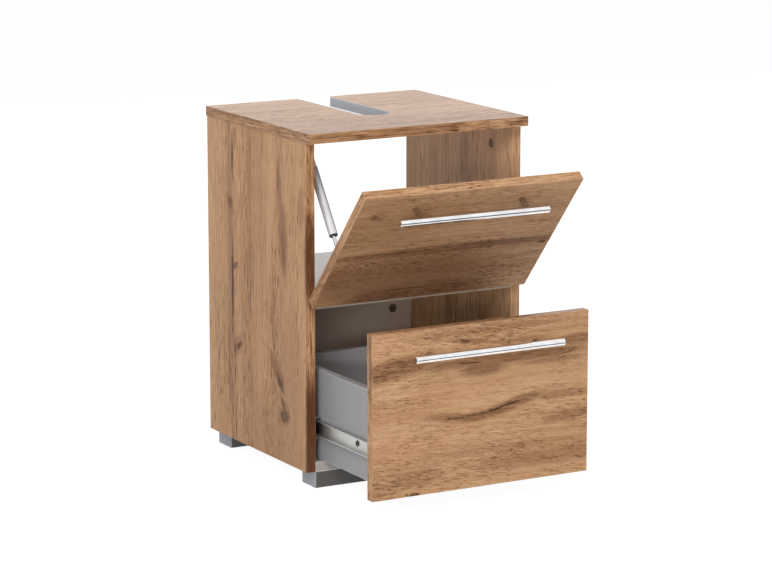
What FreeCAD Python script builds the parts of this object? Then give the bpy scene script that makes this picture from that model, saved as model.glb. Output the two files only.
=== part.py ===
import FreeCAD, Part
import math
import os

# Under-basin bathroom cabinet with a tilting door above and a drawer below.
# Millimetres: X across, Y from front to back, Z up from the floor.
# The cabinet stands with its door tilted open and its drawer pulled out.

# Carcass
BOARD = 16.0
CARCASS_WIDTH = 396.0
SIDE_DEPTH = 344.0
SIDE_HEIGHT = 532.0
SHELF_RISE = 281.0
TOP_SIDE_OVERHANG = 2.0
TOP_FRONT_OVERHANG = 20.0
RAIL_HEIGHT = 27.0
RAIL_DEPTH = 45.5

# Pipe cut-out in the top, open to the rear
SLOT_WIDTH = 59.0
SLOT_DEPTH = 235.0
SLOT_CORNER = 12.0
BAND = 1.0

# Door and drawer fronts, with the gaps round them
FRONT_GAP = 2.0
FRONT_SIDE_GAP = 2.0
FRONT_BOTTOM_GAP = 1.5
FRONT_BETWEEN_GAP = 2.5
FRONT_SHELF_DROP = 1.0
DOOR_TOP_GAP = 2.0

# Open pose: the door's lower rear edge moves forward and up while the door leans out
DOOR_TILT = 41.0
DOOR_EDGE_FORWARD = 4.0
DOOR_EDGE_RISE = 15.5
DRAWER_OUT = 192.0

# Bar handles
BAR_RADIUS = 6.0
BAR_LENGTH = 269.0
POST_RADIUS = 5.0
POST_SPACING = 192.0
BAR_STANDOFF = 25.0
DOOR_BAR_DROP = 35.0
DRAWER_BAR_DROP = 41.0
BUFFER_EDGE = 14.0

# Cup hinges
HINGE_INSET = 78.0
CUP_RADIUS = 17.5
CUP_WALL = 1.0
CUP_DEPTH = 12.5
CUP_HEIGHT = 25.0
CUP_PIN_DEPTH = 8.0
CUP_PIN_HEIGHT = 13.5
LINK_REACH = 23.5
LINK_HALF_WIDTH = 3.5
KNUCKLE = 3.0
PIN_RADIUS = 1.5
CHEEK = 1.5
SIDE_PLAY = 0.3
RUNNING_PLAY = 0.05

# Strut between the left side and the door
STRUT_INSET = 27.0
STRUT_TOP_Y = 78.5
STRUT_TOP_DROP = 16.0
STRUT_FOOT_REACH = 18.0
STRUT_FOOT_HEIGHT = 69.3
TUBE_RADIUS = 7.25
TUBE_BORE = 5.6
TUBE_START = 40.0
FITTING_RADIUS = 6.4
FITTING_START = 13.0
FITTING_GROOVE = 1.5
SLEEVE_LENGTH = 16.5
GLAND_LENGTH = 2.0
GLAND_RADIUS = 6.6
ROD_RADIUS = 3.0
ROD_SHOWN = 43.6
ROD_REACH = 84.0
BRACKET_SHEET = 3.0

# Drawer box and its ball-bearing slides
BOX_BOARD = 12.0
BOX_BOTTOM = 44.5
BOX_TOP = 190.5
BOX_REAR = 322.0
FLOOR_BOARD = 4.0
FLOOR_RISE = 10.0
GROOVE = 6.0
SLIDE_GAP = 13.0
SLIDE_Z = 98.0
SLIDE_LENGTH = 250.0
SLIDE_START = 4.0
SHEET = 1.2
BEND = 1.0
OUTER_HEIGHT = 35.0
INNER_HEIGHT = 24.0
CAGE_LENGTH = 56.0
BALL_RADIUS = 1.85
SLIDE_SLOT = 12.0

# Knock-down fittings
CAM_RADIUS = 7.5
CAM_BORE_DEPTH = 13.0
TOP_CAM_DROP = 38.0
TOP_CAM_EDGE = 65.5
FLAT_CAM_INSET = 34.0
FLAT_CAM_EDGE = 80.0
BACK_CAM_INSET = 35.5
BACK_CAM_RISE = 67.0
BACK_CAM_DROP = 91.0
BOX_CAM_RADIUS = 6.0
BOX_CAM_FRONT = 22.0
BOX_CAM_EDGE = 30.5
RAIL_SCREW_INSET = 42.0
PILOT_RADIUS = 1.75
PILOT_DEPTH = 11.5
PLATE_HOLE = 1.9

# Derived levels and planes; the stored origin is on the floor, under the middle of the whole
V = FreeCAD.Vector
X, Y, Z = V(1, 0, 0), V(0, 1, 0), V(0, 0, 1)
OUTSIDE = CARCASS_WIDTH / 2
INSIDE = OUTSIDE - BOARD
SIDE_BOTTOM = RAIL_HEIGHT
SIDE_TOP = SIDE_BOTTOM + SIDE_HEIGHT
BOTTOM_TOP = SIDE_BOTTOM + BOARD
SHELF_TOP = SIDE_BOTTOM + SHELF_RISE
SHELF_BOTTOM = SHELF_TOP - BOARD
BACK_FRONT = SIDE_DEPTH - BOARD
FRONT_BACK = -FRONT_GAP
FRONT_FACE = FRONT_BACK - BOARD
DRAWER_FRONT_BOTTOM = SIDE_BOTTOM + FRONT_BOTTOM_GAP
DRAWER_FRONT_TOP = SHELF_BOTTOM - FRONT_SHELF_DROP
DOOR_BOTTOM = DRAWER_FRONT_TOP + FRONT_BETWEEN_GAP
DOOR_TOP = SIDE_TOP - DOOR_TOP_GAP
HINGE_X = OUTSIDE - HINGE_INSET
STRUT_X = STRUT_INSET - INSIDE
STRUT_TOP_Z = SIDE_TOP - STRUT_TOP_DROP
BOX_OUTSIDE = INSIDE - SLIDE_GAP
BOX_INSIDE = BOX_OUTSIDE - BOX_BOARD
SLIDE_END = SLIDE_START + SLIDE_LENGTH
MIDDLE_Y = (SIDE_DEPTH + FRONT_FACE - BAR_STANDOFF - BAR_RADIUS - DRAWER_OUT) / 2


def box(x, y, z):
    return Part.makeBox(x[1] - x[0], y[1] - y[0], z[1] - z[0], V(x[0], y[0], z[0]))


def rod(start, direction, radius, length):
    return Part.makeCylinder(radius, length, start, direction)


def ring(start, direction, radius, bore, length):
    return rod(start, direction, radius, length).cut(rod(start, direction, bore, length))


def prism(corners, travel):
    return Part.Face(Part.makePolygon(corners + corners[:1])).extrude(travel)


def prism_across(outline, x):
    return prism([V(x[0], y, z) for y, z in outline], X * (x[1] - x[0]))


def prism_along(outline, y):
    return prism([V(x, y[0], z) for x, z in outline], Y * (y[1] - y[0]))


def eased(shape, radius, direction, chosen=lambda middle: True):
    edges = []
    for edge in shape.Edges:
        run = edge.Vertexes[-1].Point - edge.Vertexes[0].Point
        if run.cross(direction).Length < 0.001 * run.Length and chosen(edge.CenterOfMass):
            edges.append(edge)
    return shape.makeFillet(radius, edges)


def joined(first, *others):
    return first.fuse(list(others)).removeSplitter()


def mirrored(shape):
    return shape.mirror(V(0, 0, 0), X)


def faced(shape, point, facing):
    turned = shape.copy()
    turned.Placement = FreeCAD.Placement(point, FreeCAD.Rotation(Z, facing))
    return turned


def cross_recess(radius, depth):
    arm = 0.28 * radius
    one = box((-radius * 0.62, radius * 0.62), (-arm / 2, arm / 2), (-depth, 0.1))
    other = box((-arm / 2, arm / 2), (-radius * 0.62, radius * 0.62), (-depth, 0.1))
    return one.fuse(other)


def screw(seat, facing, head_radius, head_height, shank_radius, shank_length):
    head = rod(V(0, 0, 0), Z, head_radius, head_height)
    shank = rod(V(0, 0, -shank_length), Z, shank_radius, shank_length)
    recess = cross_recess(head_radius, 0.6 * head_height)
    recess.translate(Z * head_height)
    return faced(joined(head, shank).cut(recess), seat, facing)


def cam(face, facing, radius, length):
    disc = rod(V(0, 0, -length), Z, radius, length).cut(cross_recess(radius, 1.5))
    return faced(disc, face, facing)


def group(solids):
    return Part.makeCompound(solids)


def save(name, shape):
    stored = shape.copy()
    stored.translate(Y * -MIDDLE_Y)
    stored.exportStep("parts/%s.step" % name)


# Poses of the moving pieces, which are all drawn shut

def opened_point(y, z):
    tilt = math.radians(DOOR_TILT)
    across, up = y - FRONT_BACK, z - DOOR_BOTTOM
    moved_y = across * math.cos(tilt) - up * math.sin(tilt)
    moved_z = across * math.sin(tilt) + up * math.cos(tilt)
    edge_y = FRONT_BACK - DOOR_EDGE_FORWARD
    edge_z = DOOR_BOTTOM + DOOR_EDGE_RISE
    return edge_y + moved_y, edge_z + moved_z


def opened(shape):
    moved = shape.copy()
    moved.rotate(V(0, FRONT_BACK, DOOR_BOTTOM), X, DOOR_TILT)
    moved.translate(V(0, -DOOR_EDGE_FORWARD, DOOR_EDGE_RISE))
    return moved


def pulled(shape, share=1.0):
    moved = shape.copy()
    moved.translate(Y * (-DRAWER_OUT * share))
    return moved


def hung(shape):
    moved = shape.copy()
    moved.rotate(V(0, 0, 0), X, -STRUT_LEAN)
    moved.translate(V(STRUT_X, STRUT_TOP_Y, STRUT_TOP_Z))
    return moved


# Pivots, as (y, z)

CUP_PIN = (FRONT_BACK - CUP_PIN_DEPTH, DOOR_BOTTOM + CUP_PIN_HEIGHT)
CUP_PIN_OPEN = opened_point(*CUP_PIN)


def arm_pivot():
    # The arm's pin is equally far from the cup's pin when shut and when open.
    step_y = CUP_PIN_OPEN[0] - CUP_PIN[0]
    step_z = CUP_PIN_OPEN[1] - CUP_PIN[1]
    step = math.hypot(step_y, step_z)
    middle_y = (CUP_PIN[0] + CUP_PIN_OPEN[0]) / 2
    middle_z = (CUP_PIN[1] + CUP_PIN_OPEN[1]) / 2
    return middle_y + LINK_REACH * step_z / step, middle_z - LINK_REACH * step_y / step


ARM_PIN = arm_pivot()
STRUT_FOOT = (FRONT_BACK + STRUT_FOOT_REACH, DOOR_BOTTOM + STRUT_FOOT_HEIGHT)
STRUT_FOOT_OPEN = opened_point(*STRUT_FOOT)
STRUT_OUT = STRUT_TOP_Y - STRUT_FOOT_OPEN[0]
STRUT_DOWN = STRUT_TOP_Z - STRUT_FOOT_OPEN[1]
STRUT_LEAN = math.degrees(math.atan2(STRUT_OUT, STRUT_DOWN))
STRUT_OPEN_LENGTH = math.hypot(STRUT_OUT, STRUT_DOWN)
GLAND_END = STRUT_OPEN_LENGTH - ROD_SHOWN
SLEEVE_END = GLAND_END - GLAND_LENGTH
TUBE_END = SLEEVE_END - SLEEVE_LENGTH

# Fixing points shared by the boards and their fittings

def both_ends(low, high, inset):
    return low + inset, high - inset


def grid(columns, rows):
    return [(column, row) for column in columns for row in rows]


BACK_CAM_LEVELS = (BOTTOM_TOP + BACK_CAM_RISE, SHELF_BOTTOM - BACK_CAM_DROP)
RAIL_SCREW_X = (RAIL_SCREW_INSET - INSIDE, 0.0, INSIDE - RAIL_SCREW_INSET)
TOP_CAMS = grid(both_ends(0, SIDE_DEPTH, TOP_CAM_EDGE), [SIDE_TOP - TOP_CAM_DROP])
FLAT_CAMS = grid(both_ends(-INSIDE, INSIDE, FLAT_CAM_INSET), both_ends(0, SIDE_DEPTH, FLAT_CAM_EDGE))
BACK_CAMS = grid(both_ends(-INSIDE, INSIDE, BACK_CAM_INSET), BACK_CAM_LEVELS)
BOX_CAMS = grid([BOX_CAM_FRONT], both_ends(BOX_BOTTOM, BOX_TOP, BOX_CAM_EDGE))
RAIL_SCREWS = grid(RAIL_SCREW_X, both_ends(0, SIDE_DEPTH, RAIL_DEPTH / 2))
OUTER_SCREWS = [SLIDE_START + step for step in (33.0, 129.0, 231.0)]
INNER_SCREWS = [SLIDE_START + step for step in (26.0, 71.0, 228.0)]
PLATE_SCREWS = [(side * HINGE_X + step, 26.0) for side in (-1, 1) for step in (-16.0, 16.0)]
CUP_SCREW_Z = DOOR_BOTTOM + CUP_HEIGHT + 9.5
CUP_SCREWS = [(side * HINGE_X + step, CUP_SCREW_Z) for side in (-1, 1) for step in (-24.0, 24.0)]
TOP_BRACKET_SCREWS = [STRUT_TOP_Z - 11.0, STRUT_TOP_Z + 11.0]
FOOT_BRACKET_SCREWS = [STRUT_FOOT[1] - 8.0, STRUT_FOOT[1] + 8.0]
FOOT_SCREW_X = STRUT_X + 19.5
POSTS = (-POST_SPACING / 2, POST_SPACING / 2)


# Carcass boards

def slotted_top(inset):
    rear = SIDE_DEPTH + inset
    board = box(
        (-OUTSIDE - TOP_SIDE_OVERHANG, OUTSIDE + TOP_SIDE_OVERHANG),
        (-TOP_FRONT_OVERHANG, rear),
        (SIDE_TOP, SIDE_TOP + BOARD),
    )
    half = SLOT_WIDTH / 2 - inset
    end = SIDE_DEPTH - SLOT_DEPTH + SLOT_WIDTH / 2
    straight = box((-half, half), (end, rear + 1), (SIDE_TOP, SIDE_TOP + BOARD))
    board = board.cut(straight.fuse(rod(V(0, end, SIDE_TOP), Z, half, BOARD)))
    corners = [
        edge for edge in board.Edges
        if abs(abs(edge.CenterOfMass.x) - half) < 0.01 and abs(edge.CenterOfMass.y - rear) < 0.01
        and abs(edge.CenterOfMass.z - SIDE_TOP - BOARD / 2) < 0.01
    ]
    return board.makeFillet(SLOT_CORNER + inset, corners)


def make_top():
    # The band lines the slot and stops a little short of the rear face.
    top = slotted_top(0.0)
    beyond = box((-300, 300), (SIDE_DEPTH - 1.5, SIDE_DEPTH + 5), (SIDE_TOP, SIDE_TOP + BOARD))
    save("top_panel", top)
    save("slot_edge_band", slotted_top(BAND).cut([top, beyond]))


def make_sides():
    left = box((-OUTSIDE, -INSIDE), (0, SIDE_DEPTH), (SIDE_BOTTOM, SIDE_TOP))
    bores = [rod(V(-INSIDE, y, z), -X, CAM_RADIUS, CAM_BORE_DEPTH) for y, z in TOP_CAMS]
    bores += [rod(V(-INSIDE, y, SLIDE_Z), -X, PILOT_RADIUS, PILOT_DEPTH) for y in OUTER_SCREWS]
    left = left.cut(bores)
    save("right_side_panel", mirrored(left))
    strut_holes = [rod(V(-INSIDE, STRUT_TOP_Y, z), -X, PILOT_RADIUS, PILOT_DEPTH) for z in TOP_BRACKET_SCREWS]
    save("left_side_panel", left.cut(strut_holes))


def make_inner_boards():
    shelf = box((-INSIDE, INSIDE), (0, SIDE_DEPTH), (SHELF_BOTTOM, SHELF_TOP))
    shelf_bores = [rod(V(x, y, SHELF_BOTTOM), Z, CAM_RADIUS, CAM_BORE_DEPTH) for x, y in FLAT_CAMS]
    shelf_bores += [rod(V(x, y, SHELF_TOP), -Z, PILOT_RADIUS, PILOT_DEPTH) for x, y in PLATE_SCREWS]
    save("middle_shelf", shelf.cut(shelf_bores))

    bottom = box((-INSIDE, INSIDE), (0, SIDE_DEPTH), (SIDE_BOTTOM, BOTTOM_TOP))
    bottom_bores = [rod(V(x, y, SIDE_BOTTOM), Z, CAM_RADIUS, CAM_BORE_DEPTH) for x, y in FLAT_CAMS]
    bottom_bores += [rod(V(x, y, SIDE_BOTTOM), Z, 2.05, PILOT_DEPTH) for x, y in RAIL_SCREWS]
    save("bottom_panel", bottom.cut(bottom_bores))

    back = box((-INSIDE, INSIDE), (BACK_FRONT, SIDE_DEPTH), (BOTTOM_TOP, SHELF_BOTTOM))
    back_bores = [rod(V(x, BACK_FRONT, z), Y, CAM_RADIUS, CAM_BORE_DEPTH) for x, z in BACK_CAMS]
    save("back_panel", back.cut(back_bores))


def make_rails():
    head_depth = 3.0
    screws = []
    for name, y in (("front_rail", 0.0), ("rear_rail", SIDE_DEPTH - RAIL_DEPTH)):
        rail = box((-INSIDE, INSIDE), (y, y + RAIL_DEPTH), (0, RAIL_HEIGHT))
        for screw_x, screw_y in RAIL_SCREWS:
            rail = rail.cut(rod(V(screw_x, screw_y, 0), Z, 2.1, RAIL_HEIGHT))
            rail = rail.cut(rod(V(screw_x, screw_y, 0), Z, 4.6, head_depth))
        save(name, rail)
    for screw_x, screw_y in RAIL_SCREWS:
        screws.append(screw(V(screw_x, screw_y, head_depth), -Z, 4.3, 2.2, 2.0, RAIL_HEIGHT + 7.0))
    save("rail_screws", group(screws))


def make_cams():
    recess = 0.5
    capped = 3.2
    length = CAM_BORE_DEPTH - 0.5 - recess
    radius = CAM_RADIUS - 0.1
    top_cams, top_caps = [], []
    for side in (-1, 1):
        for y, z in TOP_CAMS:
            face = V(side * (INSIDE + capped), y, z)
            top_cams.append(cam(face, X * -side, radius, CAM_BORE_DEPTH - capped - 0.3))
            top_caps.append(rod(face + X * (-side * 0.2), X * -side, radius, 1.4))
    shelf_cams = [cam(V(x, y, SHELF_BOTTOM + recess), -Z, radius, length) for x, y in FLAT_CAMS]
    bottom_cams = [cam(V(x, y, SIDE_BOTTOM + recess), -Z, radius, length) for x, y in FLAT_CAMS]
    back_cams = [cam(V(x, BACK_FRONT + recess, z), -Y, radius, length) for x, z in BACK_CAMS]
    save("top_cam_locks", group(top_cams))
    save("top_cam_caps", group(top_caps))
    save("shelf_cam_locks", group(shelf_cams))
    save("bottom_cam_locks", group(bottom_cams))
    save("back_cam_locks", group(back_cams))


# Cup hinges

def make_hinge_arm(side):
    centre = side * HINGE_X
    plate_top = SHELF_TOP + 4.0
    plate = eased(box((centre - 23, centre + 23), (10, 42), (SHELF_TOP, plate_top)), 4.0, Z)
    for x, y in PLATE_SCREWS:
        plate = plate.cut(rod(V(x, y, SHELF_TOP), Z, PLATE_HOLE, plate_top - SHELF_TOP))

    pin_y, pin_z = ARM_PIN
    nose = KNUCKLE + 0.3
    half = LINK_HALF_WIDTH + SIDE_PLAY + CHEEK
    outline = [
        (pin_y, pin_z + nose), (12.0, pin_z + nose + 0.4), (44.0, plate_top + 12.0),
        (44.0, plate_top), (10.0, plate_top), (4.0, pin_z - 8.0), (pin_y, pin_z - nose),
    ]
    arm = prism_across(outline, (centre - half, centre + half))
    arm = eased(arm, 4.0, X, lambda middle: middle.y > 11 and middle.z > plate_top + 1)
    arm = joined(arm, rod(V(centre - half, pin_y, pin_z), X, nose, 2 * half))
    gap = LINK_HALF_WIDTH + SIDE_PLAY
    mouth = box((centre - gap, centre + gap), (pin_y - 5.0, 9.0), (plate_top + 3.0, pin_z + 6.0))
    arm = joined(arm.cut(mouth), rod(V(centre - half, pin_y, pin_z), X, PIN_RADIUS, 2 * half))
    return plate, arm


def make_hinge_link(side):
    centre = side * HINGE_X
    low_y, low_z = CUP_PIN_OPEN
    pin_y, pin_z = ARM_PIN
    length = math.hypot(low_y - pin_y, low_z - pin_z)
    along_y, along_z = (low_y - pin_y) / length, (low_z - pin_z) / length
    half = 2.2
    bar = prism_across([
        (pin_y - along_z * half, pin_z + along_y * half), (low_y - along_z * half, low_z + along_y * half),
        (low_y + along_z * half, low_z - along_y * half), (pin_y + along_z * half, pin_z - along_y * half),
    ], (centre - LINK_HALF_WIDTH, centre + LINK_HALF_WIDTH))
    ends = [V(centre - LINK_HALF_WIDTH, y, z) for y, z in (ARM_PIN, CUP_PIN_OPEN)]
    link = joined(bar, *[rod(end, X, KNUCKLE, 2 * LINK_HALF_WIDTH) for end in ends])
    return link.cut([rod(end, X, PIN_RADIUS + RUNNING_PLAY, 2 * LINK_HALF_WIDTH) for end in ends])


def make_hinge_cup(side):
    centre = V(side * HINGE_X, FRONT_BACK, DOOR_BOTTOM + CUP_HEIGHT)
    flange = 1.2
    inner = CUP_RADIUS - CUP_WALL
    shell = rod(centre, -Y, CUP_RADIUS, CUP_DEPTH).fuse(rod(centre, Y, CUP_RADIUS + 1.5, flange))
    wing_z = (centre.z + 3, centre.z + 15.5)
    wings = eased(box((centre.x - 30, centre.x + 30), (FRONT_BACK, FRONT_BACK + flange), wing_z), 5.0, Y)
    hollow = rod(centre + Y * flange, -Y, inner, CUP_DEPTH + flange - CUP_WALL)
    shell = shell.fuse(wings).cut(hollow)
    for x, z in CUP_SCREWS:
        shell = shell.cut(rod(V(x, FRONT_BACK, z), Y, PLATE_HOLE, flange))

    pin_y, pin_z = CUP_PIN
    gap = LINK_HALF_WIDTH + SIDE_PLAY
    lugs = [
        box((centre.x + low, centre.x + low + 6.5), (pin_y - 4.0, pin_y + 3.0), (pin_z - 3.2, pin_z + 4.0))
        for low in (gap, -gap - 6.5)
    ]
    lugs = [lug.common(rod(centre, -Y, inner + 0.5, CUP_DEPTH)) for lug in lugs]
    pin = rod(V(centre.x - gap - 4.0, pin_y, pin_z), X, PIN_RADIUS, 2 * gap + 8.0)
    return opened(joined(shell, *lugs, pin))


def make_hinges():
    for side, name in ((-1, "left"), (1, "right")):
        plate, arm = make_hinge_arm(side)
        save("hinge_plate_" + name, plate)
        save("hinge_arm_" + name, arm)
        save("hinge_link_" + name, make_hinge_link(side))
        save("hinge_cup_" + name, make_hinge_cup(side))
    plate_screws = [screw(V(x, y, SHELF_TOP + 4.0), Z, 3.4, 2.0, 1.7, 14.5) for x, y in PLATE_SCREWS]
    cup_screws = [screw(V(x, FRONT_BACK + 1.2, z), Y, 3.2, 1.6, 1.7, 11.0) for x, z in CUP_SCREWS]
    save("hinge_plate_screws", group(plate_screws))
    save("hinge_cup_screws", opened(group(cup_screws)))


# Strut

def chamfered(solid, depth, size):
    return solid.makeChamfer(size, [e for e in solid.Edges if abs(e.CenterOfMass.z + depth) < 0.01])


def make_strut():
    eye_half, eye_radius, eye_pin = 5.0, 6.5, 3.0
    eye = rod(V(-eye_half, 0, 0), X, eye_radius, 2 * eye_half)
    neck = rod(V(0, 0, 0), -Z, 3.5, TUBE_START + 1.0)
    fitting = rod(V(0, 0, -FITTING_START), -Z, FITTING_RADIUS, TUBE_START - FITTING_GROOVE - FITTING_START)
    fitting = chamfered(fitting, FITTING_START, 1.2)
    tube = rod(V(0, 0, -TUBE_START), -Z, TUBE_RADIUS, TUBE_END - TUBE_START)
    tube = chamfered(tube, TUBE_START, 1.8)
    tube = chamfered(tube, TUBE_END, 0.5)
    bore_start = TUBE_START + 10.0
    bore = rod(V(0, 0, -bore_start), -Z, TUBE_BORE, TUBE_END - bore_start)
    body = joined(tube, neck, fitting, eye).cut(bore)
    body = body.cut(rod(V(-eye_half, 0, 0), X, eye_pin + RUNNING_PLAY, 2 * eye_half))
    save("strut_cylinder", hung(body))
    save("strut_sleeve", hung(ring(V(0, 0, -TUBE_END), -Z, TUBE_RADIUS, TUBE_BORE, SLEEVE_LENGTH)))
    save("strut_gland", hung(ring(V(0, 0, -SLEEVE_END), -Z, GLAND_RADIUS, TUBE_BORE, GLAND_LENGTH)))

    foot = V(0, 0, -STRUT_OPEN_LENGTH)
    foot_half, foot_pin = 4.0, 2.5
    socket_start, collar = 5.0, 14.0
    foot_eye = joined(rod(foot - X * foot_half, X, 5.5, 2 * foot_half), rod(foot, Z, foot_half, collar))
    foot_eye = foot_eye.cut(rod(foot - X * collar, X, foot_pin + RUNNING_PLAY, 2 * collar))
    foot_eye = foot_eye.cut(rod(foot + Z * socket_start, Z, ROD_RADIUS + RUNNING_PLAY, collar - socket_start))
    save("strut_rod_eye", hung(foot_eye))
    save("strut_rod", hung(rod(foot + Z * socket_start, Z, ROD_RADIUS, ROD_REACH - socket_start)))

    plate_face = -INSIDE + BRACKET_SHEET
    top = V(plate_face, STRUT_TOP_Y, STRUT_TOP_Z)
    plate = eased(box((-INSIDE, plate_face), (top.y - 9, top.y + 9), (top.z - 15.5, top.z + 15.5)), 4.0, X)
    for z in TOP_BRACKET_SCREWS:
        plate = plate.cut(rod(V(-INSIDE, top.y, z), X, PLATE_HOLE, BRACKET_SHEET))
    collar_end = STRUT_X - eye_half - 1.0
    head = STRUT_X + eye_half + 1.0
    bracket = joined(
        plate,
        rod(top, X, 6.0, collar_end - plate_face),
        rod(top, X, eye_pin, head - plate_face),
        rod(V(head, top.y, top.z), X, 5.5, 2.0),
    )
    save("strut_upper_bracket", bracket)
    top_screws = [screw(V(plate_face, top.y, z), X, 3.2, 1.8, 1.7, 13.5) for z in TOP_BRACKET_SCREWS]
    save("strut_upper_screws", group(top_screws))

    foot_y, foot_z = STRUT_FOOT
    ear = STRUT_X + foot_half + 2.5
    ear_end = ear + BRACKET_SHEET
    foot_seat = FRONT_BACK + BRACKET_SHEET
    base = box((ear_end, ear + 24), (FRONT_BACK, foot_seat), (foot_z - 13, foot_z + 13))
    base = eased(base, 4.0, Y, lambda middle: middle.x > ear_end + 1)
    for z in FOOT_BRACKET_SCREWS:
        base = base.cut(rod(V(FOOT_SCREW_X, FRONT_BACK, z), Y, PLATE_HOLE, BRACKET_SHEET))
    bracket = joined(
        base,
        box((ear, ear_end), (FRONT_BACK, foot_y), (foot_z - 6.5, foot_z + 6.5)),
        rod(V(ear, foot_y, foot_z), X, 6.5, BRACKET_SHEET),
        rod(V(ear, foot_y, foot_z), -X, 4.0, 1.8),
        rod(V(ear, foot_y, foot_z), -X, foot_pin, ear - STRUT_X + foot_half + 2.5),
        rod(V(STRUT_X - foot_half - 1.0, foot_y, foot_z), -X, 4.0, 1.5),
    )
    save("strut_lower_bracket", opened(bracket))
    foot_screws = [screw(V(FOOT_SCREW_X, foot_seat, z), Y, 3.2, 1.8, 1.7, 13.0) for z in FOOT_BRACKET_SCREWS]
    save("strut_lower_screws", opened(group(foot_screws)))


# Fronts and handles

def front_board(bottom, top, bar_z):
    edge = OUTSIDE - FRONT_SIDE_GAP
    board = box((-edge, edge), (FRONT_FACE, FRONT_BACK), (bottom, top))
    return board.cut([rod(V(x, FRONT_FACE, bar_z), Y, 2.2, BOARD) for x in POSTS])


def handle(bar_z):
    axis_y = FRONT_FACE - BAR_STANDOFF
    bar = rod(V(-BAR_LENGTH / 2, axis_y, bar_z), X, BAR_RADIUS, BAR_LENGTH)
    bar = bar.makeChamfer(0.8, [e for e in bar.Edges if abs(abs(e.CenterOfMass.x) - BAR_LENGTH / 2) < 0.01])
    posts, screws = [], []
    for x in POSTS:
        post = rod(V(x, FRONT_FACE, bar_z), -Y, POST_RADIUS, BAR_STANDOFF)
        thread = rod(V(x, FRONT_FACE, bar_z), -Y, 2.05, 9.5)
        posts.append(post.cut([bar, thread]))
        screws.append(screw(V(x, FRONT_BACK, bar_z), Y, 4.2, 2.4, 2.0, BOARD + 9.0))
    return bar, group(posts), group(screws)


def buffers(corners):
    return group([rod(V(x, FRONT_BACK, z), Y, 4.0, 1.5) for x, z in corners])


def make_door():
    bar_z = DOOR_TOP - DOOR_BAR_DROP
    door = front_board(DOOR_BOTTOM, DOOR_TOP, bar_z)
    for side in (-1, 1):
        seat = V(side * HINGE_X, FRONT_BACK, DOOR_BOTTOM + CUP_HEIGHT)
        door = door.cut(rod(seat, -Y, CUP_RADIUS + 0.1, CUP_DEPTH + 0.5))
    pilots = CUP_SCREWS + [(FOOT_SCREW_X, z) for z in FOOT_BRACKET_SCREWS]
    door = door.cut([rod(V(x, FRONT_BACK, z), -Y, PILOT_RADIUS, PILOT_DEPTH) for x, z in pilots])
    bar, posts, screws = handle(bar_z)
    edge = OUTSIDE - BOARD / 2
    save("door_panel", opened(door))
    save("door_handle_bar", opened(bar))
    save("door_handle_posts", opened(posts))
    save("door_handle_screws", opened(screws))
    save("door_buffers", opened(buffers([(x, DOOR_TOP - BUFFER_EDGE) for x in (-edge, edge)])))


def make_drawer_front():
    bar_z = DRAWER_FRONT_TOP - DRAWER_BAR_DROP
    bar, posts, screws = handle(bar_z)
    edge = OUTSIDE - BOARD / 2
    levels = (DRAWER_FRONT_BOTTOM + BUFFER_EDGE, DRAWER_FRONT_TOP - BUFFER_EDGE)
    save("drawer_front", pulled(front_board(DRAWER_FRONT_BOTTOM, DRAWER_FRONT_TOP, bar_z)))
    save("drawer_handle_bar", pulled(bar))
    save("drawer_handle_posts", pulled(posts))
    save("drawer_handle_screws", pulled(screws))
    save("drawer_buffers", pulled(buffers([(x, z) for x in (-edge, edge) for z in levels])))


# Drawer box

def make_drawer_box():
    floor_low = BOX_BOTTOM + FLOOR_RISE
    slack = 0.2
    groove = (floor_low - slack, floor_low + FLOOR_BOARD + slack)
    left = box((-BOX_OUTSIDE, -BOX_INSIDE), (FRONT_BACK, BOX_REAR), (BOX_BOTTOM, BOX_TOP))
    cuts = [box((-BOX_INSIDE - GROOVE, -BOX_INSIDE), (FRONT_BACK, BOX_REAR), groove)]
    cuts += [rod(V(-BOX_INSIDE, y, z), -X, BOX_CAM_RADIUS, 9.5) for y, z in BOX_CAMS]
    cuts += [rod(V(-BOX_OUTSIDE, y, SLIDE_Z), X, 1.55, 9.5) for y in INNER_SCREWS]
    left = left.cut(cuts)
    back_front = BOX_REAR - BOX_BOARD
    back = box((-BOX_INSIDE, BOX_INSIDE), (back_front, BOX_REAR), (BOX_BOTTOM, BOX_TOP))
    back = back.cut(box((-BOX_INSIDE, BOX_INSIDE), (back_front, back_front + GROOVE), groove))
    half = BOX_INSIDE + GROOVE - 0.5
    floor_z = (floor_low, floor_low + FLOOR_BOARD)
    floor = box((-half, half), (FRONT_BACK, back_front), floor_z)
    tongue_half = BOX_INSIDE - slack
    tongue = box((-tongue_half, tongue_half), (back_front, back_front + GROOVE - 0.5), floor_z)
    cams = [
        cam(V(side * (BOX_INSIDE + 0.4), y, z), X * -side, BOX_CAM_RADIUS - 0.1, 8.6)
        for side in (-1, 1) for y, z in BOX_CAMS
    ]
    save("drawer_side_left", pulled(left))
    save("drawer_side_right", pulled(mirrored(left)))
    save("drawer_back", pulled(back))
    save("drawer_bottom", pulled(joined(floor, tongue)))
    save("drawer_cam_locks", pulled(group(cams)))


# Ball-bearing slides, drawn for the left and mirrored for the right

def stadium(x, y, z, width, height):
    straight = (height - width) / 2
    shape = box((x[0], x[1]), (y - width / 2, y + width / 2), (z - straight, z + straight))
    ends = [rod(V(x[0], y, z + side * straight), X, width / 2, x[1] - x[0]) for side in (-1, 1)]
    return shape.fuse(ends)


def rolled(half_profile):
    # A sheet profile given from its middle to one edge and back, and mirrored about the slide's centre line
    upper = [(x, SLIDE_Z + rise) for x, rise in half_profile]
    lower = [(x, SLIDE_Z - rise) for x, rise in reversed(half_profile)]
    return prism_along(upper + lower, (SLIDE_START, SLIDE_END))


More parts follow.
